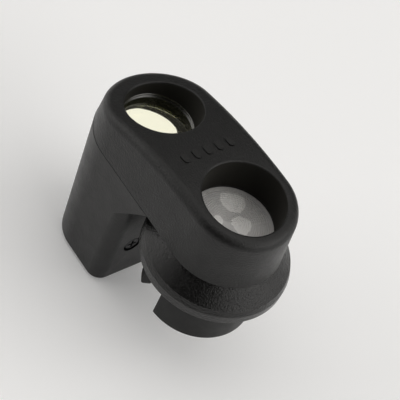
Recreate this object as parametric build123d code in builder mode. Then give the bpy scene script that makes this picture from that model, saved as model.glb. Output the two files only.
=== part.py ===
from build123d import *
from math import cos, radians, sin
import os

os.makedirs("parts", exist_ok=True)

# A viewfinder and spot receptor attachment for a handheld light meter, in millimetres.
# The origin is on the receptor axis, in the plane where the lock ring seats on the meter.
# +Z points out of the front face, and the finder window lies at -X.

# Layout
PITCH = 30.0                # receptor axis to finder axis
FINDER_X = -PITCH
SEAM_Z = 8.4                # joint between the front cover and the rear housing
SEAM_GAP = 0.15             # fine line left open at that joint
REAR_Z = -27.5              # rear end of the finder tube

# Front cover
HALF_WIDTH = 13.8           # at the seam
DRAFT = 4.24                # degrees, narrower towards the front
COVER_END_X = -0.15         # centre of the rounded receptor end
CROWN_X = -0.3              # highest point of the domed face
CROWN_Z = 23.4
DOME_R = 106.0
DOME_FLAT_X = -33.0         # the dome runs on straight from here past the finder window
COVER_EDGE_R = 2.2
COVER_WALL = 1.9
COVER_TOP = 2.2
WINDOW_EDGE_R = 0.55
FINDER_WINDOW_R = 8.85
FINDER_BOSS_R = 10.9
FINDER_BOSS_Z = 12.6
RECEPTOR_WINDOW_R = 9.6
RECEPTOR_BOSS_R = 11.6
RECEPTOR_BOSS_Z = 14.35
EMBLEM_X = -14.4
EMBLEM_COUNT = 5            # plain raised bars between the windows
EMBLEM_PITCH = 3.1
EMBLEM_LENGTH = 2.8
EMBLEM_WIDTH = 1.5
EMBLEM_HEIGHT = 0.25

# Rear housing
TUBE_INNER_X = -17.5        # face that lies along the meter
TUBE_INNER_R = 3.3
TUBE_OUTER_X = -43.8        # at the seam
TUBE_OUTER_R = 13.6
TUBE_REAR_X = -39.4         # at the rear end
TUBE_REAR_R = 9.9
TUBE_WALL = 1.8
REAR_WALL = 2.0
REAR_EDGE_R = 0.5
WEB_SLOPE = 0.63            # the side webs clear the lock ring in a cone
WEB_DEPTH = 10.9
WEB_WIDTH = 13.6
PLATE_THICKNESS = 2.0
PLATE_CLEARANCE = 0.15
FINDER_HOLE_R = 10.5
CASE_SCREW_X = -15.2
CASE_SCREW_Y = 8.6
CASE_SCREW_LENGTH = 6.0
CASE_POST_R = 2.2
CASE_POST_LENGTH = 10.5
EYE_SCREW_Y = 6.2
EYE_SCREW_Z = -15.6
EYE_SCREW_LENGTH = 4.8
EYE_RECESS_R = 2.4
EYE_RECESS_DEPTH = 1.0
EYE_WINDOW_R = 6.2          # hole in the tube's rear wall
EYE_REBATE_R = 7.9          # shallow seat around it for the eye guard
EYE_REBATE = 0.9

# Finder optics, front to back
CELL_R = 10.35
CELL_BORE_R = 9.65
CELL_TOP_Z = FINDER_BOSS_Z - 0.05
CELL_SHOULDER_Z = 4.9
RIDGE_R = 8.85              # two ridges round the mouth of the retaining ring
RIDGE_Z = 12.1
RIDGE_PITCH = 1.0
RIDGE_WIDTH = 0.5
SKIRT_R = 9.2
OBJECTIVE_R = 9.6
OBJECTIVE_CLEAR_R = 9.1
OBJECTIVE_VERTEX_Z = 6.69    # deepest point of the hollow front face
OBJECTIVE_FRONT_R = 26.45
BARREL_END_Z = -12.9
BARREL_STEPS = 6
BARREL_MOUTH_R = 8.9
BARREL_THROAT_R = 6.4
BARREL_WALL = 0.9
BARREL_NECK = 0.9           # depth of the cell's floor
EYE_CELL_R = 8.2
EYE_CELL_BORE_R = 6.9
EYE_CELL_END_Z = REAR_Z + REAR_WALL
EYE_CELL_LIP = 0.9
EYE_CELL_EAR = 1.8          # material beyond each screw axis
RETICLE_FRONT_Z = -14.0
RETICLE_BACK_Z = -14.8
SPACER_R = 6.3
EYE_R = 6.8
EYEPIECE_FACE_R = 38.0
EYE_FRONT_Z = -19.5
EYE_BACK_Z = -22.0
EYE_RING_END_Z = -24.6
GUARD_R = 6.1               # of the sleeve that enters the rear wall
GUARD_BORE_R = 5.6
GUARD_FLANGE_R = 7.85
GUARD_PROUD = 0.6

# Receptor optics, front to back
FLANGE_R = 11.0
FLANGE_BORE_R = 10.6
FRESNEL_R = 10.55
FRESNEL_BACK_Z = 12.2
FRESNEL_FACE_Z = 13.5
FRESNEL_PITCH = 0.5
FRESNEL_DEPTH = 0.16
FRESNEL_WALL = 0.06         # width of each groove's steep side
FRESNEL_GROOVES = 18
FRESNEL_RING_R = 9.75
FUNNEL_R = 9.6
FUNNEL_WAIST_R = 7.6
FUNNEL_WAIST_Z = 8.0
FUNNEL_END_R = 5.4
FUNNEL_OUTER_R = 8.85       # slides in the spigot
FUNNEL_OUTER_Z = 7.0
CELL_FLOOR_Z = -4.6
STOP_SEAT_Z = 0.0
STOP_BORE_R = 2.6
STOP_THICKNESS = 0.5
REAR_CELL_R = 8.1
REAR_CELL_BORE_R = 7.0
REAR_CELL_TOP_Z = 2.0
DIFFUSER_R = 6.95
DIFFUSER_FRONT_Z = -0.9
DIFFUSER_EDGE_Z = -2.6
DIFFUSER_VERTEX_Z = -3.4
DIFFUSER_CLEAR_R = 5.6
DIFFUSER_BACK_R = 20.0
DIFFUSER_RING_R = 5.7
DIFFUSER_RING_Z = -3.9
SEAL_Z = -6.2

# Lock ring and its bearing
SPIGOT_R = 10.25
SPIGOT_BORE_R = 8.95
SPIGOT_END_Z = -0.2
RING_CLEARANCE = 0.07       # radial running clearance on the spigot
RING_R = 17.5
RING_RIM_Z = 2.3
RING_RIM_CHAMFER = 0.2
RING_SHOULDER_R = 17.0
RING_SHOULDER_Z = 3.85
RING_NECK_R = 13.0
RING_TOP_Z = 7.55
RING_POCKET_R = 15.6
RING_POCKET_Z = 2.4
RING_ROOM_R = 18.05         # clearance pocket in the housing
RING_ROOM_Z = -0.6
LOCK_TURN = 40.0            # degrees from free to locked
STOP_R = 12.2
STOP_PIN_R = 0.4
STOP_GROOVE_DEPTH = 1.4
STOP_PIN_TIP = 0.2          # left free at the bottom of the groove
CIRCLIP_R = 10.8
CIRCLIP_BORE_R = 9.8
CIRCLIP_Z = 1.5             # underside of the circlip
CIRCLIP_THICKNESS = 0.85
CIRCLIP_GAP = 3.0
WASHER_R = 11.5
WASHER_THICKNESS = 0.15
WASHER_BOW = 0.42
SLEEVE_R = 13.35
SLEEVE_BORE_R = 10.95
SLEEVE_END_Z = -13.7
SLEEVE_CHAMFER = 0.4
SLEEVE_BORE_CHAMFER = 0.3
SLEEVE_FLANGE_R = 15.5
SLEEVE_FLANGE_Z = 0.8
SLEEVE_SEAM = 24            # degrees, on the full wall between the notches
NOTCH_ANGLE = -103.7        # middle of the first notch
NOTCH_SPAN = 35.0           # between the radial sides
NOTCH_COUNT = 2
NOTCH_TOP_Z = -4.0
NOTCH_FILLET = 0.8
TRACK_DEPTH = 1.0           # bayonet track inside the sleeve
TRACK_LOW_Z = -9.0
TRACK_HIGH_Z = -6.5
TRACK_SPAN = 60.0
SLEEVE_SCREW_R = 14.45
SLEEVE_SCREW_DEPTH = 2.3
SLEEVE_SCREW_LENGTH = 3.1
SLEEVE_SCREW_ANGLES = (20, 140, 260)

# Fasteners
THREAD_R = 0.6
THREAD_HOLE_R = 0.63
THREAD_ROOM = 0.15          # radial room in a plain screw hole
SCREW_HEAD_R = 1.4
SCREW_HEAD = 0.9
SMALL_HEAD_R = 0.9
SMALL_HEAD = 0.6
EYE_HEAD_R = 1.9
EYE_HEAD = 0.8

BORE_AXIS = Axis((0, 0, 0), (0, 0, 1))
FINDER_AXIS = Axis((FINDER_X, 0, 0), (0, 0, 1))
FINDER_PLANE = Plane((FINDER_X, 0, 0), x_dir=(1, 0, 0), z_dir=(0, -1, 0))
COVER_MID_X = (COVER_END_X + FINDER_X) / 2
COVER_CENTRES = COVER_END_X - FINDER_X
PLATE_Z = SEAM_Z - SEAM_GAP
PLATE_TOP_Z = PLATE_Z + PLATE_THICKNESS
CASE_SCREWS = ((CASE_SCREW_X, -CASE_SCREW_Y), (CASE_SCREW_X, CASE_SCREW_Y))
EYE_SCREWS = ((-EYE_SCREW_Y, EYE_SCREW_Z), (EYE_SCREW_Y, EYE_SCREW_Z))
CLEARANCE = 0.05            # between pieces that are slipped together
REACH = 40                  # longer than anything that is cut or trimmed


def polar(radius, degrees):
    """Point at a radius and an angle about the receptor axis."""
    return (radius * cos(radians(degrees)), radius * sin(radians(degrees)))


def sag(face_r, edge_r):
    """Height of a spherical face of radius face_r between its vertex and edge_r."""
    return face_r - (face_r**2 - edge_r**2) ** 0.5


def domed_block(half_width, crown_z, base_z):
    """Drafted slot-shaped block that ends in the domed face."""
    reach = CROWN_X - DOME_FLAT_X
    edge_z = crown_z - sag(DOME_R, reach)
    slope = reach / (DOME_R - sag(DOME_R, reach))
    with BuildPart() as block:
        with BuildSketch(Plane.XY.offset(base_z)):
            with Locations((COVER_MID_X, 0)):
                SlotCenterToCenter(COVER_CENTRES, 2 * half_width)
        extrude(amount=CROWN_Z - base_z + 2, taper=DRAFT)
        with BuildSketch(Plane.XZ):
            with BuildLine():
                dome = ThreePointArc(
                    (DOME_FLAT_X, edge_z),
                    (CROWN_X, crown_z),
                    (CROWN_X + reach, edge_z),
                )
                flat = Line(dome @ 0, (DOME_FLAT_X - REACH, edge_z - slope * REACH))
                Polyline(
                    flat @ 1,
                    (DOME_FLAT_X - REACH, base_z - REACH),
                    (CROWN_X + reach, base_z - REACH),
                    dome @ 1,
                )
            make_face()
        extrude(amount=REACH, both=True, mode=Mode.INTERSECT)
    return block.part


def tube_block(inset, top_z, bottom_z):
    """Tapering finder tube between two heights, its sides moved in by inset."""
    with BuildPart() as block:
        for z in (top_z, bottom_z):
            share = (SEAM_Z - z) / (SEAM_Z - REAR_Z)
            low_x = TUBE_OUTER_X + share * (TUBE_REAR_X - TUBE_OUTER_X) + inset
            high_x = TUBE_INNER_X - inset
            outer_r = TUBE_OUTER_R + share * (TUBE_REAR_R - TUBE_OUTER_R) - inset
            with BuildSketch(Plane.XY.offset(z)) as section:
                with Locations(((low_x + high_x) / 2, 0)):
                    Rectangle(high_x - low_x, 2 * (HALF_WIDTH - inset))
                fillet(section.vertices().group_by(Axis.X)[0], outer_r)
                fillet(section.vertices().group_by(Axis.X)[-1], TUBE_INNER_R - inset / 2)
        loft(ruled=True)
    return block.part


def window_barrel(outer_r, low_z, axis_x):
    """Solid barrel under the domed face, bored later with its window."""
    under_face = domed_block(HALF_WIDTH - COVER_WALL / 2, CROWN_Z - COVER_TOP / 2, SEAM_Z)
    with BuildPart() as block:
        with BuildSketch(Plane.XY.offset(low_z)):
            with Locations((axis_x, 0)):
                Circle(outer_r)
        extrude(amount=CROWN_Z - low_z)
        add(under_face, mode=Mode.INTERSECT)
    return block.part


def emblem_bars():
    """Plain bars that stand a little above the domed face, rooted in its wall."""
    raised_face = domed_block(HALF_WIDTH, CROWN_Z + EMBLEM_HEIGHT, SEAM_Z)
    with BuildPart() as block:
        with BuildSketch(Plane.XY.offset(CROWN_Z - COVER_TOP)):
            with Locations((EMBLEM_X, 0)):
                with GridLocations(1, EMBLEM_PITCH, 1, EMBLEM_COUNT):
                    SlotOverall(EMBLEM_LENGTH, EMBLEM_WIDTH)
        extrude(amount=COVER_TOP)
        add(raised_face, mode=Mode.INTERSECT)
    return block.part


def web_block():
    """Side webs that carry the tube's sides forward to the seam, cut back in a cone."""
    low_z = PLATE_Z - WEB_DEPTH
    with BuildPart() as block:
        with BuildSketch(Plane.XY.offset(low_z)):
            with Locations((TUBE_INNER_X, 0)):
                Rectangle(WEB_WIDTH, 2 * HALF_WIDTH)
        extrude(amount=WEB_DEPTH)
        with BuildSketch(Plane.XZ):
            with BuildLine():
                Polyline(
                    (0, low_z),
                    (RING_ROOM_R + WEB_SLOPE * WEB_DEPTH, low_z),
                    (RING_ROOM_R, PLATE_Z),
                    (0, PLATE_Z),
                    close=True,
                )
            make_face()
        revolve(axis=BORE_AXIS, mode=Mode.SUBTRACT)
    return block.part


def turned(points, axis_x=0.0, seam=0.0):
    """Solid turned about the upright axis at axis_x from (radius, height) points.

    The outline is drawn at the angle seam, in degrees from +X.
    """
    side = (cos(radians(seam)), sin(radians(seam)), 0)
    with BuildPart() as block:
        with BuildSketch(Plane((axis_x, 0, 0), x_dir=side, z_dir=(side[1], -side[0], 0))):
            with BuildLine():
                Polyline(*points, close=True)
            make_face()
        revolve(axis=Axis((axis_x, 0, 0), (0, 0, 1)))
    return block.part


def ring(inner_r, outer_r, low_z, high_z, axis_x=0.0):
    """Plain ring about the upright axis at axis_x."""
    with BuildPart() as block:
        with BuildSketch(Plane.XY.offset(low_z)):
            with Locations((axis_x, 0)):
                Circle(outer_r)
                Circle(inner_r, mode=Mode.SUBTRACT)
        extrude(amount=high_z - low_z)
    return block.part


def screw(seat, head_r, head, length):
    """Pan-head screw: the plane lies under the head and its normal points out of the head."""
    with BuildPart() as block:
        with BuildSketch(seat):
            Circle(head_r)
        extrude(amount=head)
        crown = block.faces().sort_by(Axis(seat.origin, seat.z_dir))[-1]
        fillet(crown.edges(), 0.3 * head)
        with BuildSketch(seat):
            Circle(THREAD_R)
        extrude(amount=-length)
        # Cross recess
        with BuildSketch(seat.offset(head)):
            Rectangle(1.3 * head_r, 0.25 * head_r)
            Rectangle(0.25 * head_r, 1.3 * head_r)
        extrude(amount=-head / 2, mode=Mode.SUBTRACT)
    return block.part


# ---------------------------------------------------------------- casing

cover_outside = domed_block(HALF_WIDTH, CROWN_Z, SEAM_Z)
cover_inside = domed_block(HALF_WIDTH - COVER_WALL, CROWN_Z - COVER_TOP, SEAM_Z)
finder_boss = window_barrel(FINDER_BOSS_R, FINDER_BOSS_Z, FINDER_X)
receptor_boss = window_barrel(RECEPTOR_BOSS_R, RECEPTOR_BOSS_Z, 0)
emblem = emblem_bars()

with BuildPart() as front_cover:
    add(cover_outside)
    domed_faces = front_cover.faces().sort_by(Axis.Z)[-2:]
    fillet(domed_faces.edges().filter_by(Axis.Y, reverse=True), COVER_EDGE_R)
    add(cover_inside, mode=Mode.SUBTRACT)
    # Barrels that carry the two windows down to the optics
    add(finder_boss)
    add(receptor_boss)
    # Screw posts that stand on the base plate
    with BuildSketch(Plane.XY.offset(PLATE_TOP_Z)):
        with Locations(*CASE_SCREWS):
            Circle(CASE_POST_R)
    extrude(amount=CASE_POST_LENGTH)
    with BuildSketch(Plane.XY.offset(PLATE_TOP_Z)):
        with Locations(*CASE_SCREWS):
            Circle(THREAD_HOLE_R)
    extrude(amount=CASE_SCREW_LENGTH, mode=Mode.SUBTRACT)
    # The two windows, their rims rounded where they meet the domed face
    with BuildSketch(Plane.XY.offset(SEAM_Z)):
        with Locations((FINDER_X, 0)):
            Circle(FINDER_WINDOW_R)
        Circle(RECEPTOR_WINDOW_R)
    extrude(amount=REACH, mode=Mode.SUBTRACT)
    window_edges = front_cover.edges(Select.LAST)
    window_rims = window_edges.filter_by(GeomType.CIRCLE, reverse=True)
    fillet(window_rims.filter_by(GeomType.LINE, reverse=True), WINDOW_EDGE_R)
    add(emblem)
front_cover.part.label = "front_cover"
export_step(front_cover.part, "parts/front_cover.step")

tube_outside = tube_block(0, PLATE_Z, REAR_Z)
tube_inside = tube_block(TUBE_WALL, PLATE_Z, REAR_Z + REAR_WALL)
webs = web_block()
circlip_groove = ring(
    CIRCLIP_BORE_R - CLEARANCE, SPIGOT_R + 1, CIRCLIP_Z - CLEARANCE, RING_POCKET_Z
)

with BuildPart() as rear_housing:
    add(tube_outside)
    fillet(rear_housing.faces().sort_by(Axis.Z)[0].edges(), REAR_EDGE_R)
    add(webs)
    add(tube_inside, mode=Mode.SUBTRACT)
    # Clearance pocket for the lock ring
    with BuildSketch(Plane.XY.offset(RING_ROOM_Z)):
        Circle(RING_ROOM_R)
    extrude(amount=PLATE_Z - RING_ROOM_Z, mode=Mode.SUBTRACT)
    # Base plate that closes the front cover
    with BuildSketch(Plane.XY.offset(PLATE_Z)):
        with Locations((COVER_MID_X, 0)):
            SlotCenterToCenter(COVER_CENTRES, 2 * (HALF_WIDTH - COVER_WALL - PLATE_CLEARANCE))
        with Locations((FINDER_X, 0)):
            Circle(FINDER_HOLE_R, mode=Mode.SUBTRACT)
    extrude(amount=PLATE_THICKNESS)
    # Spigot that the lock ring turns on, with the circlip groove near its end
    with BuildSketch(Plane.XY.offset(SPIGOT_END_Z)):
        Circle(SPIGOT_R)
    extrude(amount=PLATE_TOP_Z - SPIGOT_END_Z)
    add(circlip_groove, mode=Mode.SUBTRACT)
    with BuildSketch(Plane.XY.offset(SPIGOT_END_Z)):
        Circle(SPIGOT_BORE_R)
    extrude(amount=PLATE_TOP_Z - SPIGOT_END_Z, mode=Mode.SUBTRACT)
    # Holes for the case screws and the stop pin
    with BuildSketch(Plane.XY.offset(PLATE_Z)):
        with Locations(*CASE_SCREWS):
            Circle(THREAD_R + THREAD_ROOM)
        with Locations(polar(STOP_R, 180)):
            Circle(STOP_PIN_R)
    extrude(amount=PLATE_THICKNESS, mode=Mode.SUBTRACT)
    with BuildSketch(Plane.XY.offset(PLATE_Z)):
        with Locations(*CASE_SCREWS):
            Circle(SCREW_HEAD_R + THREAD_ROOM)
    extrude(amount=SCREW_HEAD + 2 * CLEARANCE, mode=Mode.SUBTRACT)
    # Window for the eye, with the shallow seat of the eye guard around it
    with BuildSketch(Plane.XY.offset(REAR_Z)):
        with Locations((FINDER_X, 0)):
            Circle(EYE_WINDOW_R)
    extrude(amount=REAR_WALL, mode=Mode.SUBTRACT)
    with BuildSketch(Plane.XY.offset(REAR_Z)):
        with Locations((FINDER_X, 0)):
            Circle(EYE_REBATE_R)
    extrude(amount=EYE_REBATE, mode=Mode.SUBTRACT)
    # Sunk seats for the two eyepiece screws in the face along the meter
    with BuildSketch(Plane.YZ.offset(TUBE_INNER_X)):
        with Locations(*EYE_SCREWS):
            Circle(EYE_RECESS_R)
    extrude(amount=-EYE_RECESS_DEPTH, mode=Mode.SUBTRACT)
    with BuildSketch(Plane.YZ.offset(TUBE_INNER_X)):
        with Locations(*EYE_SCREWS):
            Circle(THREAD_R + THREAD_ROOM)
    extrude(amount=-TUBE_WALL - CLEARANCE, mode=Mode.SUBTRACT)
rear_housing.part.label = "rear_housing"
export_step(rear_housing.part, "parts/rear_housing.step")

# ---------------------------------------------------------------- finder optics

barrel_step = (CELL_SHOULDER_Z - BARREL_END_Z) / BARREL_STEPS
barrel_narrowing = (BARREL_MOUTH_R - BARREL_THROAT_R) / BARREL_STEPS
cell_floor_z = CELL_SHOULDER_Z - BARREL_NECK
barrel_outline = [
    (CELL_R, cell_floor_z),
    (CELL_R, CELL_TOP_Z),
    (CELL_BORE_R, CELL_TOP_Z),
    (CELL_BORE_R, CELL_SHOULDER_Z),
]
# Inside, narrowing steps that catch stray light
for i in range(BARREL_STEPS):
    step_r = BARREL_MOUTH_R - i * barrel_narrowing
    barrel_outline.append((step_r, CELL_SHOULDER_Z - i * barrel_step))
    barrel_outline.append((step_r, CELL_SHOULDER_Z - (i + 1) * barrel_step))
barrel_outline.append((BARREL_THROAT_R + barrel_narrowing + BARREL_WALL, BARREL_END_Z))
barrel_outline.append((BARREL_MOUTH_R + BARREL_WALL, cell_floor_z))
barrel_body = turned(barrel_outline, FINDER_X)

with BuildPart() as finder_barrel:
    add(barrel_body)
finder_barrel.part.label = "finder_barrel"
export_step(finder_barrel.part, "parts/finder_barrel.step")

objective_edge_z = OBJECTIVE_VERTEX_Z + sag(OBJECTIVE_FRONT_R, OBJECTIVE_CLEAR_R)

with BuildPart() as objective_lens:
    # Hollow front face with a flat land round it, and a flat back
    with BuildSketch(FINDER_PLANE):
        with BuildLine():
            face = RadiusArc(
                (0, OBJECTIVE_VERTEX_Z),
                (OBJECTIVE_CLEAR_R, objective_edge_z),
                -OBJECTIVE_FRONT_R,
            )
            Polyline(
                face @ 1,
                (OBJECTIVE_R, objective_edge_z),
                (OBJECTIVE_R, CELL_SHOULDER_Z),
                (0, CELL_SHOULDER_Z),
                face @ 0,
            )
        make_face()
    revolve(axis=FINDER_AXIS)
objective_lens.part.label = "objective_lens"
export_step(objective_lens.part, "parts/objective_lens.step")

# Two ridges round the mouth of the ring, and a plain skirt down to the lens
ring_outline = [(OBJECTIVE_R, objective_edge_z + CLEARANCE), (OBJECTIVE_R, CELL_TOP_Z)]
for i in range(2):
    ridge_z = RIDGE_Z - i * RIDGE_PITCH
    ring_outline.append((SKIRT_R, ridge_z + RIDGE_WIDTH / 2 + (SKIRT_R - RIDGE_R) / 2))
    ring_outline.append((RIDGE_R, ridge_z + RIDGE_WIDTH / 4))
    ring_outline.append((RIDGE_R, ridge_z - RIDGE_WIDTH / 4))
    ring_outline.append((SKIRT_R, ridge_z - RIDGE_WIDTH / 2))
ring_outline.append((SKIRT_R, objective_edge_z + CLEARANCE))
ring_body = turned(ring_outline, FINDER_X)

with BuildPart() as objective_ring:
    add(ring_body)
objective_ring.part.label = "objective_ring"
export_step(objective_ring.part, "parts/objective_ring.step")

tube_room = tube_block(TUBE_WALL + 2 * CLEARANCE, PLATE_Z, EYE_CELL_END_Z)
eye_cell_top_z = BARREL_END_Z - 2 * CLEARANCE

with BuildPart() as eyepiece_cell:
    with BuildSketch(Plane.XY.offset(EYE_CELL_END_Z)):
        with Locations((FINDER_X, 0)):
            Circle(EYE_CELL_R)
        with Locations(((FINDER_X + TUBE_INNER_X - TUBE_WALL) / 2, 0)):
            Rectangle(TUBE_INNER_X - TUBE_WALL - FINDER_X, 2 * (EYE_SCREW_Y + EYE_CELL_EAR))
    extrude(amount=eye_cell_top_z - EYE_CELL_END_Z)
    with BuildSketch(Plane.XY.offset(EYE_CELL_END_Z)):
        with Locations((FINDER_X, 0)):
            Circle(EYE_CELL_BORE_R)
    extrude(amount=eye_cell_top_z - EYE_CELL_LIP - EYE_CELL_END_Z, mode=Mode.SUBTRACT)
    with BuildSketch(Plane.XY.offset(EYE_CELL_END_Z)):
        with Locations((FINDER_X, 0)):
            Circle(EYE_WINDOW_R)
    extrude(amount=eye_cell_top_z - EYE_CELL_END_Z, mode=Mode.SUBTRACT)
    with BuildSketch(Plane.YZ.offset(TUBE_INNER_X)):
        with Locations(*EYE_SCREWS):
            Circle(THREAD_HOLE_R)
    extrude(amount=-EYE_RECESS_DEPTH - EYE_SCREW_LENGTH - CLEARANCE, mode=Mode.SUBTRACT)
    add(tube_room, mode=Mode.INTERSECT)
eyepiece_cell.part.label = "eyepiece_cell"
export_step(eyepiece_cell.part, "parts/eyepiece_cell.step")

with BuildPart() as frame_reticle:
    with BuildSketch(Plane.XY.offset(RETICLE_BACK_Z)):
        with Locations((FINDER_X, 0)):
            Circle(EYE_R)
    extrude(amount=RETICLE_FRONT_Z - RETICLE_BACK_Z)
frame_reticle.part.label = "frame_reticle"
export_step(frame_reticle.part, "parts/frame_reticle.step")

with BuildPart() as eyepiece_spacer:
    with BuildSketch(Plane.XY.offset(EYE_FRONT_Z + 2 * CLEARANCE)):
        with Locations((FINDER_X, 0)):
            Circle(EYE_R)
            Circle(SPACER_R, mode=Mode.SUBTRACT)
    extrude(amount=RETICLE_BACK_Z - EYE_FRONT_Z - 3 * CLEARANCE)
eyepiece_spacer.part.label = "eyepiece_spacer"
export_step(eyepiece_spacer.part, "parts/eyepiece_spacer.step")

eye_sag = sag(EYEPIECE_FACE_R, EYE_R)

with BuildPart() as eyepiece_lens:
    with BuildSketch(FINDER_PLANE):
        with BuildLine():
            Line((0, EYE_BACK_Z - eye_sag), (0, EYE_FRONT_Z + eye_sag))
            RadiusArc((0, EYE_FRONT_Z + eye_sag), (EYE_R, EYE_FRONT_Z), EYEPIECE_FACE_R)
            Line((EYE_R, EYE_FRONT_Z), (EYE_R, EYE_BACK_Z))
            RadiusArc((EYE_R, EYE_BACK_Z), (0, EYE_BACK_Z - eye_sag), EYEPIECE_FACE_R)
        make_face()
    revolve(axis=FINDER_AXIS)
eyepiece_lens.part.label = "eyepiece_lens"
export_step(eyepiece_lens.part, "parts/eyepiece_lens.step")

eye_ring_body = turned(
    [
        (EYE_R - 0.8, EYE_BACK_Z - 0.25),
        (EYE_R, EYE_BACK_Z - CLEARANCE),
        (EYE_R, EYE_RING_END_Z),
        (EYE_R - 1.1, EYE_RING_END_Z),
    ],
    FINDER_X,
)

with BuildPart() as eyepiece_ring:
    add(eye_ring_body)
eyepiece_ring.part.label = "eyepiece_ring"
export_step(eyepiece_ring.part, "parts/eyepiece_ring.step")

guard_body = turned(
    [
        (GUARD_R, EYE_CELL_END_Z - 2 * CLEARANCE),
        (GUARD_R, REAR_Z + EYE_REBATE),
        (GUARD_FLANGE_R, REAR_Z + EYE_REBATE),
        (GUARD_FLANGE_R, REAR_Z - GUARD_PROUD / 3),
        (GUARD_FLANGE_R - 0.45, REAR_Z - GUARD_PROUD),
        (GUARD_BORE_R + 0.6, REAR_Z - GUARD_PROUD),
        (GUARD_BORE_R, REAR_Z + GUARD_PROUD / 3),
        (GUARD_BORE_R, EYE_CELL_END_Z - 2 * CLEARANCE),
    ],
    FINDER_X,
)

with BuildPart() as eye_guard:
    add(guard_body)
eye_guard.part.label = "eye_guard"
export_step(eye_guard.part, "parts/eye_guard.step")

# ---------------------------------------------------------------- receptor optics

receptor_body = turned([
    (FLANGE_R, PLATE_TOP_Z),
    (FLANGE_R, RECEPTOR_BOSS_Z - CLEARANCE),
    (FLANGE_BORE_R, RECEPTOR_BOSS_Z - CLEARANCE),
    (FLANGE_BORE_R, FRESNEL_BACK_Z),
    (FUNNEL_R, FRESNEL_BACK_Z),
    (FUNNEL_WAIST_R, FUNNEL_WAIST_Z),
    (FUNNEL_END_R, STOP_SEAT_Z),
    (REAR_CELL_BORE_R, STOP_SEAT_Z),
    (REAR_CELL_BORE_R, CELL_FLOOR_Z),
    (REAR_CELL_R, CELL_FLOOR_Z),
    (REAR_CELL_R, REAR_CELL_TOP_Z),
    (FUNNEL_OUTER_R, FUNNEL_OUTER_Z),
    (FUNNEL_OUTER_R, PLATE_TOP_Z),
])

with BuildPart() as receptor_barrel:
    add(receptor_body)
receptor_barrel.part.label = "receptor_barrel"
export_step(receptor_barrel.part, "parts/receptor_barrel.step")

# Saw-tooth grooves on the front face, each with a short steep side
fresnel_outline = [
    (0, FRESNEL_BACK_Z),
    (FRESNEL_R, FRESNEL_BACK_Z),
    (FRESNEL_R, FRESNEL_FACE_Z),
]
for i in range(FRESNEL_GROOVES, 0, -1):
    groove_r = i * FRESNEL_PITCH
    fresnel_outline.append((groove_r, FRESNEL_FACE_Z))
    fresnel_outline.append((groove_r - FRESNEL_WALL, FRESNEL_FACE_Z - FRESNEL_DEPTH))
fresnel_outline.append((0, FRESNEL_FACE_Z))
fresnel_body = turned(fresnel_outline)

with BuildPart() as fresnel_lens:
    add(fresnel_body)
fresnel_lens.part.label = "fresnel_lens"
export_step(fresnel_lens.part, "parts/fresnel_lens.step")

with BuildPart() as fresnel_ring:
    with BuildSketch(Plane.XY.offset(FRESNEL_FACE_Z + CLEARANCE)):
        Circle(FRESNEL_R)
        Circle(FRESNEL_RING_R, mode=Mode.SUBTRACT)
    extrude(amount=RECEPTOR_BOSS_Z - FRESNEL_FACE_Z - 2 * CLEARANCE)
fresnel_ring.part.label = "fresnel_ring"
export_step(fresnel_ring.part, "parts/fresnel_ring.step")

with BuildPart() as field_stop:
    with BuildSketch(Plane.XY.offset(STOP_SEAT_Z - STOP_THICKNESS)):
        Circle(DIFFUSER_R)
        Circle(STOP_BORE_R, mode=Mode.SUBTRACT)
    extrude(amount=STOP_THICKNESS - CLEARANCE)
field_stop.part.label = "field_stop"
export_step(field_stop.part, "parts/field_stop.step")

with BuildPart() as diffuser_lens:
    with BuildSketch(Plane.XZ):
        with BuildLine():
            Polyline(
                (0, DIFFUSER_VERTEX_Z),
                (0, DIFFUSER_FRONT_Z),
                (DIFFUSER_R, DIFFUSER_FRONT_Z),
                (DIFFUSER_R, DIFFUSER_EDGE_Z),
                (DIFFUSER_CLEAR_R, DIFFUSER_EDGE_Z),
            )
            RadiusArc(
                (DIFFUSER_CLEAR_R, DIFFUSER_EDGE_Z),
                (0, DIFFUSER_VERTEX_Z),
                DIFFUSER_BACK_R,
            )
        make_face()
    revolve(axis=BORE_AXIS)
diffuser_lens.part.label = "diffuser_lens"
export_step(diffuser_lens.part, "parts/diffuser_lens.step")

with BuildPart() as diffuser_ring:
    with BuildSketch(Plane.XY.offset(DIFFUSER_RING_Z)):
        Circle(DIFFUSER_R)
        Circle(DIFFUSER_RING_R, mode=Mode.SUBTRACT)
    extrude(amount=DIFFUSER_EDGE_Z - CLEARANCE - DIFFUSER_RING_Z)
diffuser_ring.part.label = "diffuser_ring"
export_step(diffuser_ring.part, "parts/diffuser_ring.step")

with BuildPart() as light_seal:
    with BuildSketch(Plane.XY.offset(SEAL_Z)):
        Circle(REAR_CELL_R)
        Circle(DIFFUSER_CLEAR_R, mode=Mode.SUBTRACT)
    extrude(amount=CELL_FLOOR_Z - SEAL_Z)
light_seal.part.label = "light_seal"
export_step(light_seal.part, "parts/light_seal.step")

# ---------------------------------------------------------------- lock ring

SLEEVE_SCREWS = [polar(SLEEVE_SCREW_R, angle) for angle in SLEEVE_SCREW_ANGLES]
NOTCHES = [NOTCH_ANGLE + 360 / NOTCH_COUNT * i for i in range(NOTCH_COUNT)]

collar_body = turned([
    (SPIGOT_R + RING_CLEARANCE, RING_POCKET_Z),
    (SPIGOT_R + RING_CLEARANCE, RING_TOP_Z),
    (RING_NECK_R, RING_TOP_Z),
    (RING_SHOULDER_R, RING_SHOULDER_Z),
    (RING_R, RING_RIM_Z),
    (RING_R, RING_RIM_CHAMFER),
    (RING_R - RING_RIM_CHAMFER, 0),
    (RING_POCKET_R, 0),
    (RING_POCKET_R, RING_POCKET_Z),
])

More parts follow.
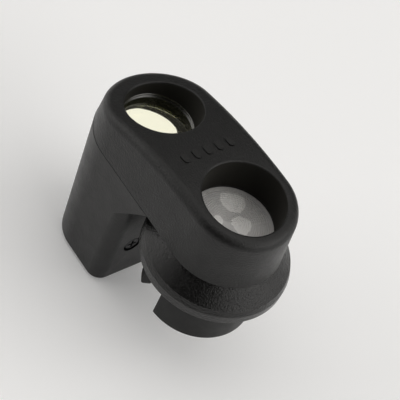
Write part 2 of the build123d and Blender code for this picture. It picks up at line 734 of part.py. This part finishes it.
with BuildPart() as lock_collar:
    add(collar_body)
    # Groove that the stop pin runs in
    with BuildSketch(Plane.XY.offset(RING_TOP_Z)):
        SlotArc(CenterArc((0, 0), STOP_R, 180, LOCK_TURN), 2 * (STOP_PIN_R + CLEARANCE))
    extrude(amount=-STOP_GROOVE_DEPTH, mode=Mode.SUBTRACT)
    with BuildSketch(Plane.XY.offset(RING_POCKET_Z)):
        with Locations(*SLEEVE_SCREWS):
            Circle(THREAD_HOLE_R)
    extrude(amount=SLEEVE_SCREW_DEPTH, mode=Mode.SUBTRACT)
lock_collar.part.label = "lock_collar"
export_step(lock_collar.part, "parts/lock_collar.step")

flange_top_z = RING_POCKET_Z - 0.02
sleeve_body = turned(
    [
        (SLEEVE_BORE_R, SLEEVE_END_Z + SLEEVE_BORE_CHAMFER),
        (SLEEVE_BORE_R + SLEEVE_BORE_CHAMFER, SLEEVE_END_Z),
        (SLEEVE_R - SLEEVE_CHAMFER, SLEEVE_END_Z),
        (SLEEVE_R, SLEEVE_END_Z + SLEEVE_CHAMFER),
        (SLEEVE_R, SLEEVE_FLANGE_Z),
        (SLEEVE_FLANGE_R, SLEEVE_FLANGE_Z),
        (SLEEVE_FLANGE_R, flange_top_z),
        (SLEEVE_BORE_R, flange_top_z),
    ],
    seam=SLEEVE_SEAM,
)

with BuildPart() as bayonet_sleeve:
    add(sleeve_body)
    # Bayonet track inside the wall, leading sideways out of each notch
    for angle in NOTCHES:
        with BuildSketch(Plane.XY.offset(TRACK_LOW_Z)):
            SlotArc(CenterArc((0, 0), SLEEVE_BORE_R, angle, TRACK_SPAN), 2 * TRACK_DEPTH)
        extrude(amount=TRACK_HIGH_Z - TRACK_LOW_Z, mode=Mode.SUBTRACT)
    # Notches through the wall, with radial sides and rounded upper corners
    with BuildSketch(Plane.XY.offset(SLEEVE_END_Z - 1)):
        for angle in NOTCHES:
            with BuildLine():
                Polyline(
                    (0, 0),
                    polar(SLEEVE_R + 2, angle - NOTCH_SPAN / 2),
                    polar(SLEEVE_R + 2, angle + NOTCH_SPAN / 2),
                    (0, 0),
                )
            make_face()
    extrude(amount=NOTCH_TOP_Z - SLEEVE_END_Z + 1, mode=Mode.SUBTRACT)
    notch_edges = bayonet_sleeve.edges(Select.LAST).filter_by(GeomType.LINE)
    fillet(notch_edges.group_by(Axis.Z)[-1], NOTCH_FILLET)
    # Screw holes through the flange, with sunk seats for the heads
    with BuildSketch(Plane.XY.offset(SLEEVE_FLANGE_Z)):
        with Locations(*SLEEVE_SCREWS):
            Circle(THREAD_R + THREAD_ROOM)
    extrude(amount=flange_top_z - SLEEVE_FLANGE_Z, mode=Mode.SUBTRACT)
    with BuildSketch(Plane.XY.offset(SLEEVE_FLANGE_Z)):
        with Locations(*SLEEVE_SCREWS):
            Circle(SMALL_HEAD_R + CLEARANCE)
    extrude(amount=SMALL_HEAD, mode=Mode.SUBTRACT)
bayonet_sleeve.part.label = "bayonet_sleeve"
export_step(bayonet_sleeve.part, "parts/bayonet_sleeve.step")

washer_low_z = RING_TOP_Z + CLEARANCE
washer_outer_r = (WASHER_R**2 + WASHER_BOW**2) / (2 * WASHER_BOW)
washer_outline = ring(SPIGOT_R + 2 * CLEARANCE, WASHER_R, RING_TOP_Z - 1, PLATE_Z)

with BuildPart() as bow_washer:
    # Flat ring bent to one large radius, which presses the lock ring down
    with BuildSketch(Plane.XZ):
        with Locations((0, washer_low_z + WASHER_BOW + WASHER_THICKNESS - washer_outer_r)):
            Circle(washer_outer_r)
            Circle(washer_outer_r - WASHER_THICKNESS, mode=Mode.SUBTRACT)
        with Locations((0, RING_TOP_Z)):
            Rectangle(2 * WASHER_R + 2, 2, mode=Mode.INTERSECT)
    extrude(amount=REACH, both=True)
    add(washer_outline, mode=Mode.INTERSECT)
bow_washer.part.label = "bow_washer"
export_step(bow_washer.part, "parts/bow_washer.step")

with BuildPart() as collar_circlip:
    with BuildSketch(Plane.XY.offset(CIRCLIP_Z)):
        Circle(CIRCLIP_R)
        Circle(CIRCLIP_BORE_R, mode=Mode.SUBTRACT)
        with Locations((CIRCLIP_R, 0)):
            Rectangle(CIRCLIP_GAP, CIRCLIP_GAP, mode=Mode.SUBTRACT)
    extrude(amount=CIRCLIP_THICKNESS)
collar_circlip.part.label = "collar_circlip"
export_step(collar_circlip.part, "parts/collar_circlip.step")

pin_tip_z = RING_TOP_Z - STOP_GROOVE_DEPTH + STOP_PIN_TIP

with BuildPart() as stop_pin:
    with BuildSketch(Plane.XY.offset(pin_tip_z)):
        with Locations(polar(STOP_R, 180)):
            Circle(STOP_PIN_R - 0.01)
    extrude(amount=PLATE_TOP_Z - pin_tip_z)
    chamfer(stop_pin.faces().sort_by(Axis.Z)[0].edges(), 0.1)
stop_pin.part.label = "stop_pin"
export_step(stop_pin.part, "parts/stop_pin.step")

# ---------------------------------------------------------------- fasteners

case_seat = Plane((0, 0, PLATE_Z + SCREW_HEAD + 2 * CLEARANCE), z_dir=(0, 0, -1))
case_screw = screw(case_seat, SCREW_HEAD_R, SCREW_HEAD, CASE_SCREW_LENGTH)
sleeve_seat = Plane((0, 0, SLEEVE_FLANGE_Z + SMALL_HEAD), z_dir=(0, 0, -1))
sleeve_screw = screw(sleeve_seat, SMALL_HEAD_R, SMALL_HEAD, SLEEVE_SCREW_LENGTH)
eyepiece_seat = Plane((TUBE_INNER_X - EYE_RECESS_DEPTH, 0, EYE_SCREW_Z), z_dir=(1, 0, 0))
eyepiece_screw = screw(eyepiece_seat, EYE_HEAD_R, EYE_HEAD, EYE_SCREW_LENGTH)

with BuildPart() as case_screws:
    with Locations(*CASE_SCREWS):
        add(case_screw)
case_screws.part.label = "case_screws"
export_step(case_screws.part, "parts/case_screws.step")

with BuildPart() as sleeve_screws:
    with Locations(*SLEEVE_SCREWS):
        add(sleeve_screw)
sleeve_screws.part.label = "sleeve_screws"
export_step(sleeve_screws.part, "parts/sleeve_screws.step")

with BuildPart() as eyepiece_screws:
    with Locations((0, -EYE_SCREW_Y), (0, EYE_SCREW_Y)):
        add(eyepiece_screw)
eyepiece_screws.part.label = "eyepiece_screws"
export_step(eyepiece_screws.part, "parts/eyepiece_screws.step")
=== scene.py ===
"""Looks of the spot viewfinder attachment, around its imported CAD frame.

The frame is in metres, +Z out of the front face, the origin on the receptor axis where the lock
ring seats on the meter. The finder window is at -X.
"""

import math

import bpy
from mathutils import Matrix, Vector


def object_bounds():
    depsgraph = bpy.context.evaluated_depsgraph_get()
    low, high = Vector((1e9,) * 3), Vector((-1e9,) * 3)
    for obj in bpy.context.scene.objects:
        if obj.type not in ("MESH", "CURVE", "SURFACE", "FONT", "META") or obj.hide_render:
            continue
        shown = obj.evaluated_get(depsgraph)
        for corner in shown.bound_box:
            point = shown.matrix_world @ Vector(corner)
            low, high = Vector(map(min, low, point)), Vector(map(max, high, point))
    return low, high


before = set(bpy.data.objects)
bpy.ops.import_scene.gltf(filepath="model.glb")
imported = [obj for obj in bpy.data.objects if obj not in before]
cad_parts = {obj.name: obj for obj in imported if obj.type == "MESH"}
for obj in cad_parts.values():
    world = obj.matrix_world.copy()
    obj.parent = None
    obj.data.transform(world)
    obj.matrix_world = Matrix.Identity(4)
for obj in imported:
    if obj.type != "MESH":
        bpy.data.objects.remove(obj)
cad_low, cad_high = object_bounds()

MM = 0.001


# ---------------------------------------------------------------- node helpers

NOISE_LOW, NOISE_HIGH = 0.3, 0.7    # the range that most of a noise lies in


class Tree:
    """The node tree of a material or a world, with short calls to add and join nodes."""

    def __init__(self, owner, output="ShaderNodeOutputMaterial"):
        owner.use_nodes = True
        self.owner = owner
        self.nodes = owner.node_tree.nodes
        self.links = owner.node_tree.links
        self.nodes.clear()
        self.output = self.add(output)

    def add(self, kind, **inputs):
        """Adds a node; inputs are socket names, with _ for a space, and values or sockets."""
        node = self.nodes.new(kind)
        for key, value in inputs.items():
            self.put(node.inputs[key.replace("_", " ")], value)
        return node

    def put(self, socket, value):
        """Joins a socket to an input, or sets the input's value; a colour is three numbers."""
        if isinstance(value, bpy.types.NodeSocket):
            self.links.new(value, socket)
        elif socket.type == "RGBA":
            socket.default_value = (*value, 1.0)
        else:
            socket.default_value = value

    def place(self):
        """Object coordinates, which are metres in the shared frame."""
        return self.add("ShaderNodeTexCoord").outputs["Object"]

    def noise(self, size_mm, detail=2.0, roughness=0.5, place=None, output="Fac"):
        """Noise with features of about size_mm, as a number or, for output Color, a colour."""
        node = self.add("ShaderNodeTexNoise", Scale=1.0 / (size_mm * MM), Detail=detail,
                        Roughness=roughness, Vector=place or self.place())
        return node.outputs[output]

    def span(self, value, low_in, high_in, low_out, high_out):
        """Maps one range of numbers to another, clamped."""
        node = self.add("ShaderNodeMapRange", Value=value, From_Min=low_in, From_Max=high_in,
                        To_Min=low_out, To_Max=high_out)
        return node.outputs["Result"]

    def shade(self, noise, low, high):
        """low to high over the range that most of a noise lies in."""
        return self.span(noise, NOISE_LOW, NOISE_HIGH, low, high)

    def operate(self, kind, operation, values):
        """A maths node of either kind, with its inputs filled in order."""
        node = self.add(kind)
        node.operation = operation
        for socket, value in zip(node.inputs, values):
            self.put(socket, value)
        return node

    def maths(self, operation, *values):
        return self.operate("ShaderNodeMath", operation, values).outputs[0]

    def vector_maths(self, operation, *values, output="Vector"):
        return self.operate("ShaderNodeVectorMath", operation, values).outputs[output]

    def mix(self, factor, first, second, kind="RGBA"):
        """first where factor is 0 and second where it is 1: colours, or numbers for FLOAT."""
        node = self.add("ShaderNodeMix")
        node.data_type = kind
        self.put(node.inputs["Factor"], factor)
        self.put(node.inputs["A"], first)
        self.put(node.inputs["B"], second)
        return node.outputs["Result"]

    def bump(self, height, depth_mm):
        """Normal of a surface raised by up to depth_mm where height is 1."""
        node = self.add("ShaderNodeBump", Height=height, Distance=depth_mm * MM, Strength=1.0)
        return node.outputs["Normal"]

    def off_axis(self, x_mm, place):
        """Distance from the upright axis at that x, in metres."""
        parts = self.add("ShaderNodeSeparateXYZ", Vector=place).outputs
        across = self.maths("SUBTRACT", parts["X"], x_mm * MM)
        return self.maths("SQRT", self.maths("ADD", self.maths("MULTIPLY", across, across),
                                             self.maths("MULTIPLY", parts["Y"], parts["Y"])))

    def principled(self, **inputs):
        """A Principled shader, with inputs given as for add."""
        return self.add("ShaderNodeBsdfPrincipled", **inputs).outputs["BSDF"]

    def finish(self, shader):
        """Joins the shader to the output, and returns the material or world."""
        self.links.new(shader, self.output.inputs["Surface"])
        return self.owner


def material_tree(name):
    """The empty tree of a new material."""
    return Tree(bpy.data.materials.new(name))


def scaled(colour, share):
    """The colour times a number."""
    return tuple(share * channel for channel in colour)


def dress(material, *names):
    """Gives CAD nodes their material."""
    for name in names:
        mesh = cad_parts[name].data
        mesh.materials.clear()
        mesh.materials.append(material)


# ---------------------------------------------------------------- black plastics

SPECULAR = 0.40                     # specular level of most plastics here and of the rubber
PLASTIC_IOR = 1.49
MOTTLE_MM = 4.5
MOTTLE_LOW, MOTTLE_HIGH = 0.35, 0.65  # noise at the darkest and the lightest mottling
DARK, LIGHT, EDGE_HIGHLIGHT_TONE = 0.8, 1.3, 3.0   # mottling and the painted highlight on sharp edges, times the plastic's colour
EDGE_HIGHLIGHT_SHARE = 0.5                          # share of the painted highlight's tone on the sharpest edges
EDGE_HIGHLIGHT_START, EDGE_HIGHLIGHT_FULL = 0.52, 0.60  # pointiness where the painted edge highlight begins and where it is full
ROUGHNESS_SPREAD = 0.06             # how far mottling and grain move the roughness each way

# The bores of the finder and receptor windows: x of the axis and radius, in mm
WINDOW_BORES = ((-30.0, 8.85), (0.0, 9.6))
BORE_EDGE_MM = (0.03, 0.18)         # outside a bore's radius, where its paint fades out
BORE_PAINT_AND_GLOW = (0.010, 0.009, 0.006)  # matt black paint on the bores' walls, lightened and tinted olive as a painted glow
BORE_ROUGHNESS = 0.95


def beyond_bores(tree, place, bores):
    """0 on the walls of the bores and 1 on the rest of the surface."""
    fade_start, fade_end = BORE_EDGE_MM
    beyond = 1.0
    for x_mm, radius_mm in bores:
        outside = tree.span(tree.off_axis(x_mm, place), (radius_mm + fade_start) * MM,
                            (radius_mm + fade_end) * MM, 0.0, 1.0)
        beyond = tree.maths("MULTIPLY", beyond, outside)
    return beyond


def plastic(name, colour, roughness, grain_mm, grain_depth_mm, bores=(), specular=SPECULAR):
    """Moulded plastic with a spark-eroded grain, faint mottling and a painted highlight on its
    sharp edges.

    The walls of the bores, each an x and a radius in mm, are ungrained and dead matt, painted
    black with a faint olive painted glow.
    """
    tree = material_tree(name)
    place = tree.place()
    grain = tree.noise(grain_mm, 3.0, 0.6, place)
    mottle = tree.noise(MOTTLE_MM, 3.0, 0.6, place)
    tone = tree.mix(tree.span(mottle, MOTTLE_LOW, MOTTLE_HIGH, 0.0, 1.0),
                    scaled(colour, DARK), scaled(colour, LIGHT))
    # Sharp edges are painted lighter: a painted highlight.
    pointiness = tree.add("ShaderNodeNewGeometry").outputs["Pointiness"]
    tone = tree.mix(tree.span(pointiness, EDGE_HIGHLIGHT_START, EDGE_HIGHLIGHT_FULL, 0.0, EDGE_HIGHLIGHT_SHARE),
                    tone, scaled(colour, EDGE_HIGHLIGHT_TONE))
    gloss = tree.span(tree.maths("ADD", mottle, tree.maths("MULTIPLY", grain, 0.5)), 0.5, 1.0,
                      roughness + ROUGHNESS_SPREAD, roughness - ROUGHNESS_SPREAD)
    if bores:
        beyond = beyond_bores(tree, place, bores)
        # Bore walls: matt black paint, lightened and tinted olive as a painted glow.
        tone = tree.mix(beyond, BORE_PAINT_AND_GLOW, tone)
        gloss = tree.mix(beyond, BORE_ROUGHNESS, gloss, "FLOAT")
        grain = tree.maths("MULTIPLY", grain, beyond)
    return tree.finish(tree.principled(
        Base_Color=tone, Roughness=gloss, IOR=PLASTIC_IOR, Specular_IOR_Level=specular,
        Normal=tree.bump(grain, grain_depth_mm)))


dress(plastic("cover_black", (0.0045, 0.0044, 0.0041), roughness=0.38, grain_mm=0.42,
              grain_depth_mm=0.14, bores=WINDOW_BORES), "front_cover")
dress(plastic("housing_black", (0.0045, 0.0044, 0.0042), roughness=0.40, grain_mm=0.45,
              grain_depth_mm=0.06), "rear_housing")
dress(plastic("grip_black", (0.0045, 0.0043, 0.0041), roughness=0.21, grain_mm=0.46,
              grain_depth_mm=0.19), "lock_collar")
dress(plastic("sleeve_black", (0.0045, 0.0045, 0.0043), roughness=0.42, grain_mm=0.14,
              grain_depth_mm=0.010, specular=0.22), "bayonet_sleeve")
dress(plastic("inner_black", (0.002, 0.002, 0.002), roughness=0.5, grain_mm=0.2,
              grain_depth_mm=0.01),
      "finder_barrel", "eyepiece_cell", "eyepiece_spacer", "eyepiece_ring",
      "receptor_barrel", "fresnel_ring", "field_stop", "diffuser_ring")
dress(plastic("satin_black", (0.022, 0.022, 0.012), roughness=0.26, grain_mm=0.3,
              grain_depth_mm=0.004, specular=1.0), "objective_ring")


# ---------------------------------------------------------------- lenses

COAT_SHARE = 0.80       # share of the mirror coat in the look of the silvered lens

# Pale patches of painted light on the ribbed lens, standing for the face below: x, y and radius
# in mm
LIGHT_PATCHES = ((-4.97, 3.88, 3.1), (1.3, 1.9, 2.3), (-1.9, -2.5, 1.2))
PATCH_EDGE_MM = 0.1             # width of a patch's soft edge
PATCHES_END_MM = (8.0, 8.5)     # distance from the axis where the patches fade out
WOBBLE_MM = 1.6                 # how far noise moves a patch's outline
WOBBLE_SIZE_MM = 2.2            # size of the bends in it
PATCH_SHARE = 0.75              # what a patch adds to the tone, and the haze below
HAZE_SHARE = 0.2


def silvered_glass(name):
    """Glass whose hollow face carries a thin, yellowish mirror coat with specks of dust."""
    tree = material_tree(name)
    haze = tree.noise(2.5, 4.0, 0.6)
    dust = tree.span(tree.noise(0.18), 0.66, 0.74, 0.0, 0.2)
    coat = tree.principled(
        Base_Color=tree.mix(haze, (0.96, 0.96, 0.77), (1.0, 0.99, 0.81)), Metallic=1.0,
        Roughness=tree.maths("ADD", tree.shade(haze, 0.01, 0.03), dust))
    clear = tree.principled(
        Base_Color=(0.90, 0.92, 0.80), Roughness=0.02, Transmission_Weight=1.0, IOR=1.52)
    both = tree.add("ShaderNodeMixShader", Fac=COAT_SHARE)
    tree.put(both.inputs[1], clear)
    tree.put(both.inputs[2], coat)
    return tree.finish(both.outputs["Shader"])


def clear_glass(name, colour):
    """Polished glass with a faint haze of dust."""
    tree = material_tree(name)
    haze = tree.noise(3.0, 4.0)
    return tree.finish(tree.principled(
        Base_Color=tree.mix(haze, scaled(colour, 0.97), colour),
        Roughness=tree.shade(haze, 0.01, 0.04), Transmission_Weight=1.0, IOR=1.5,
        Normal=tree.bump(tree.noise(6.0), 0.004)))


def light_patches_mask(tree, place):
    """1 on the patches of painted light, whose outlines noise bends, and 0 between them."""
    wobble = tree.noise(WOBBLE_SIZE_MM, place=place, output="Color")
    bent = tree.vector_maths("MULTIPLY_ADD", wobble, (WOBBLE_MM * MM, WOBBLE_MM * MM, 0.0), place)
    flat = tree.vector_maths("MULTIPLY", bent, (1.0, 1.0, 0.0))
    patches = 0.0
    for x_mm, y_mm, radius_mm in LIGHT_PATCHES:
        # Noise is 0.5 on average, so the bent place lies half a wobble further on
        centre = ((x_mm + WOBBLE_MM / 2) * MM, (y_mm + WOBBLE_MM / 2) * MM, 0.0)
        apart = tree.vector_maths("DISTANCE", flat, centre, output="Value")
        patch = tree.span(apart, radius_mm * MM, (radius_mm + PATCH_EDGE_MM) * MM, 1.0, 0.0)
        patches = tree.maths("MAXIMUM", patches, patch)
    fade_start, fade_end = PATCHES_END_MM
    middle = tree.span(tree.off_axis(0.0, place), fade_start * MM, fade_end * MM, 1.0, 0.0)
    return tree.maths("MULTIPLY", patches, middle)


def ribbed_plastic(name):
    """Milky clear plastic; pale patches of painted light stand for the face below, seen through
    the grooves.
    """
    tree = material_tree(name)
    place = tree.place()
    haze = tree.noise(2.0, 3.0, 0.6, place)
    # Pale patches of painted light are added to the tone.
    tone = tree.maths("ADD", tree.maths("MULTIPLY", haze, HAZE_SHARE),
                      tree.maths("MULTIPLY", light_patches_mask(tree, place), PATCH_SHARE))
    return tree.finish(tree.principled(
        Base_Color=tree.mix(tone, (0.54, 0.53, 0.52), (0.88, 0.87, 0.85)),
        Roughness=tree.shade(haze, 0.24, 0.36), IOR=PLASTIC_IOR,
        Normal=tree.bump(tree.noise(0.4), 0.003)))


def opal_plastic(name):
    """Opal plastic that spreads light."""
    tree = material_tree(name)
    haze = tree.noise(1.6, 4.0, 0.6)
    return tree.finish(tree.principled(
        Base_Color=tree.mix(haze, (0.74, 0.74, 0.71), (0.82, 0.82, 0.80)),
        Roughness=tree.shade(haze, 0.34, 0.46),
        Subsurface_Weight=0.3, Subsurface_Scale=0.6 * MM,
        Normal=tree.bump(tree.noise(0.25), 0.006)))


dress(silvered_glass("silvered_glass"), "objective_lens")
dress(clear_glass("reticle_glass", (0.95, 0.96, 0.95)), "frame_reticle")
dress(clear_glass("eyepiece_glass", (0.96, 0.97, 0.98)), "eyepiece_lens")
dress(ribbed_plastic("ribbed_plastic"), "fresnel_lens")
dress(opal_plastic("opal_plastic"), "diffuser_lens")


# ---------------------------------------------------------------- rubber, foam and steel

def rubber(name):
    """Dull rubber, slightly bloomed."""
    tree = material_tree(name)
    place = tree.place()
    bloom = tree.span(tree.noise(2.6, 4.0, 0.65, place), 0.45, 0.75, 0.0, 1.0)
    return tree.finish(tree.principled(
        Base_Color=tree.mix(bloom, (0.006, 0.006, 0.006), (0.016, 0.016, 0.015)),
        Roughness=tree.span(bloom, 0.0, 1.0, 0.62, 0.82), Specular_IOR_Level=SPECULAR,
        Normal=tree.bump(tree.noise(0.3, 3.0, 0.6, place), 0.03)))


def foam(name):
    """Open-celled black foam."""
    tree = material_tree(name)
    cell_mm = 0.35
    cells = tree.add("ShaderNodeTexVoronoi", Scale=1.0 / (cell_mm * MM), Vector=tree.place())
    wall = tree.span(cells.outputs["Distance"], 0.1, 0.6, 0.0, 1.0)
    return tree.finish(tree.principled(
        Base_Color=tree.mix(wall, (0.003, 0.003, 0.003), (0.012, 0.012, 0.012)),
        Roughness=tree.span(wall, 0.0, 1.0, 0.95, 0.8), Specular_IOR_Level=0.15,
        Normal=tree.bump(wall, 0.08)))


def steel(name, dark, light, roughness):
    """Steel with small stains, and fine rolling marks that run along X."""
    tree = material_tree(name)
    place = tree.place()
    haze = tree.noise(0.6, 4.0, 0.6, place)
    stretched = tree.add("ShaderNodeMapping", Vector=place, Scale=(0.15, 1.0, 1.0))
    marks = tree.noise(0.08, place=stretched.outputs["Vector"])
    return tree.finish(tree.principled(
        Base_Color=tree.mix(haze, dark, light), Metallic=1.0,
        Roughness=tree.shade(haze, roughness - 0.07, roughness + 0.08),
        Normal=tree.bump(marks, 0.004)))


dress(rubber("soft_rubber"), "eye_guard")
dress(foam("seal_foam"), "light_seal")
dress(steel("spring_steel", (0.42, 0.42, 0.41), (0.56, 0.56, 0.55), 0.28),
      "bow_washer", "collar_circlip", "stop_pin")
dress(steel("screw_black", (0.012, 0.012, 0.013), (0.030, 0.030, 0.032), 0.40),
      "case_screws", "sleeve_screws", "eyepiece_screws")


# ---------------------------------------------------------------- stage

FLOOR_HALF = 4.0        # m
FLOOR_GAP = 0.0002      # m, from the object's lowest point down to the floor
SKY_BRIGHT_SIDE = (-0.45, 0.66, 0.60)   # direction in which the surroundings are brightest
LIGHT_COLOUR = (1.0, 0.985, 0.962)

scene = bpy.context.scene
scene.view_settings.view_transform = "Standard"


def studio_sky():
    """Dim surroundings, brightest high up on the side away from the photographed angle."""
    tree = Tree(bpy.data.worlds.new("studio"), "ShaderNodeOutputWorld")
    heading = tree.add("ShaderNodeTexCoord").outputs["Generated"]
    along = tree.vector_maths("DOT_PRODUCT", heading, SKY_BRIGHT_SIDE, output="Value")
    background = tree.add("ShaderNodeBackground", Color=(1.0, 0.98, 0.96),
                          Strength=tree.span(along, -0.3, 1.0, 0.02, 0.08))
    scene.world = tree.finish(background.outputs["Background"])


def studio_floor():
    """Pale floor that glows a little, just under the object."""
    z = cad_low.z - FLOOR_GAP
    corners = [(x * FLOOR_HALF, y * FLOOR_HALF, z)
               for x, y in ((-1, -1), (1, -1), (1, 1), (-1, 1))]
    mesh = bpy.data.meshes.new("floor")
    mesh.from_pydata(corners, [], [(0, 1, 2, 3)])
    floor = bpy.data.objects.new("floor", mesh)
    scene.collection.objects.link(floor)
    tree = material_tree("floor")
    mesh.materials.append(tree.finish(tree.principled(
        Base_Color=(0.88, 0.88, 0.88), Roughness=0.8,
        Emission_Color=(1.0, 1.0, 1.0), Emission_Strength=0.12)))


def softbox(name, direction, distance, width, height, power):
    """Area light that faces the origin from a direction; metres and watts."""
    data = bpy.data.lights.new(name, "AREA")
    data.shape = "RECTANGLE"
    data.size = width
    data.size_y = height
    data.energy = power
    data.color = LIGHT_COLOUR
    lamp = bpy.data.objects.new(name, data)
    away = Vector(direction).normalized()
    lamp.location = away * distance
    lamp.rotation_mode = "QUATERNION"
    lamp.rotation_quaternion = away.to_track_quat("Z", "Y")
    scene.collection.objects.link(lamp)


studio_sky()
studio_floor()
softbox("overhead", (-0.17, 0.19, 0.97), distance=1.0, width=1.45, height=1.25, power=6.1)
softbox("left", (-0.78, -0.52, 0.36), distance=1.1, width=1.2, height=0.8, power=5.0)
softbox("right", (0.72, 0.42, 0.50), distance=1.2, width=1.9, height=0.9, power=11.0)


# ---------------------------------------------------------------- camera

# The photographed angle: a long lens from above the side that faces -Y, turned about its axis
AZIMUTH = math.radians(-55.918)
ELEVATION = math.radians(50.272)
ROLL = math.radians(26.696)
DISTANCE = 364.07 * MM
TARGET = Vector((-10.408, 0.266, 8.4)) * MM
LENS_MM = 146.44
SENSOR_MM = 36.0
NEAREST, FURTHEST = 0.02, 20.0      # m, what the camera shows


def camera_matrix():
    """Place and turn of a camera that looks at the target from the photographed angle."""
    back = Vector((math.cos(ELEVATION) * math.cos(AZIMUTH),
                   math.cos(ELEVATION) * math.sin(AZIMUTH), math.sin(ELEVATION)))
    level = Vector((-math.sin(AZIMUTH), math.cos(AZIMUTH), 0.0))
    up = back.cross(level)
    right = math.cos(ROLL) * level + math.sin(ROLL) * up
    tilted = math.cos(ROLL) * up - math.sin(ROLL) * level
    turn = Matrix((right, tilted, back)).transposed()
    return Matrix.Translation(TARGET + back * DISTANCE) @ turn.to_4x4()


camera_data = bpy.data.cameras.new("camera")
camera_data.lens = LENS_MM
camera_data.sensor_width = SENSOR_MM
camera_data.clip_start = NEAREST
camera_data.clip_end = FURTHEST
camera = bpy.data.objects.new("camera", camera_data)
camera.matrix_world = camera_matrix()
scene.collection.objects.link(camera)
scene.camera = camera
